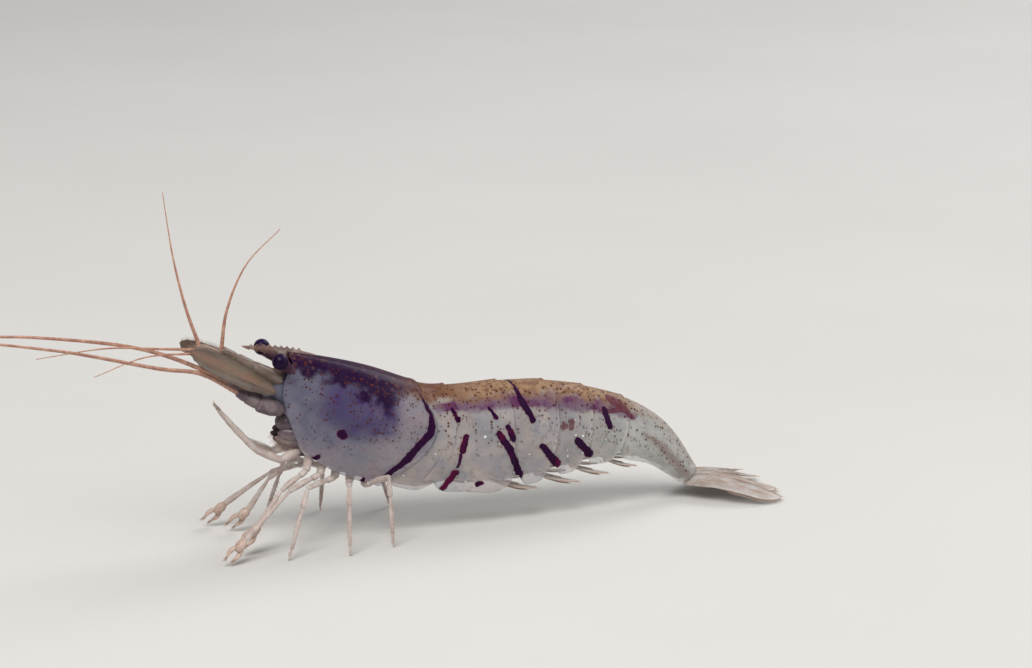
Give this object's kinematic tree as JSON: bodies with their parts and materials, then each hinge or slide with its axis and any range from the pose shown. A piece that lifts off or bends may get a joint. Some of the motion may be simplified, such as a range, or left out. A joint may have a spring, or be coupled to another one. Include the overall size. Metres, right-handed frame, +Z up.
{
  "type": "aquarium shrimp model",
  "caption": "Life-size still model of a small tiger-striped freshwater shrimp, walking with its head raised, feelers spread and tail fan resting on the floor.",
  "frame": {"origin": "on the floor, under the middle of the model's footprint, feelers included", "axes": "+X towards the tail, -X the way the head points, -Y its left side, +Z up"},
  "size_m": [0.0502, 0.025, 0.0175],
  "materials": {
    "head_shell": "wet translucent shell, dark maroon over the stomach, grey at the cheeks",
    "shell": "wet translucent grey shell with dark bands and brown speckles",
    "eye": "glossy, near black",
    "eyestalk": "translucent brown",
    "mouthparts": "translucent, milky",
    "leg": "translucent, milky pink",
    "claw": "translucent, with pale bristles",
    "swimmeret": "translucent, milky",
    "feeler_stem": "translucent grey brown",
    "feeler": "satin, pinkish brown",
    "antennal_scale": "translucent grey brown with an orange rib",
    "tail_fan": "translucent grey beige with brown ribs"
  },
  "bodies": {
    "root": {"antenna_left": "feeler", "antenna_right": "feeler", "antenna_stem_left": "feeler_stem", "antenna_stem_right": "feeler_stem", "antennal_scale_left": "antennal_scale", "antennal_scale_right": "antennal_scale", "antennule_lower_left": "feeler", "antennule_lower_right": "feeler", "antennule_stem_left": "feeler_stem", "antennule_stem_right": "feeler_stem", "antennule_upper_left": "feeler", "antennule_upper_right": "feeler", "carapace": "head_shell", "claw_1_left": "claw", "claw_1_right": "claw", "claw_2_left": "claw", "claw_2_right": "claw", "eye_left": "eye", "eye_right": "eye", "eyestalk_left": "eyestalk", "eyestalk_right": "eyestalk", "face": "head_shell", "leg_1_left": "leg", "leg_1_right": "leg", "leg_2_left": "leg", "leg_2_right": "leg", "leg_3_left": "leg", "leg_3_right": "leg", "leg_4_left": "leg", "leg_4_right": "leg", "leg_5_left": "leg", "leg_5_right": "leg", "maxilliped_left": "mouthparts", "maxilliped_right": "mouthparts", "mouthparts": "mouthparts", "rostrum": "head_shell", "somite_1": "shell", "somite_2": "shell", "somite_3": "shell", "somite_4": "shell", "somite_5": "shell", "somite_6": "shell", "swimmeret_1_left": "swimmeret", "swimmeret_1_right": "swimmeret", "swimmeret_2_left": "swimmeret", "swimmeret_2_right": "swimmeret", "swimmeret_3_left": "swimmeret", "swimmeret_3_right": "swimmeret", "swimmeret_4_left": "swimmeret", "swimmeret_4_right": "swimmeret", "swimmeret_5_left": "swimmeret", "swimmeret_5_right": "swimmeret", "telson": "tail_fan", "thorax_floor": "mouthparts", "uropod_inner_left": "tail_fan", "uropod_inner_right": "tail_fan", "uropod_outer_left": "tail_fan", "uropod_outer_right": "tail_fan"}
  },
  "joints": []
}
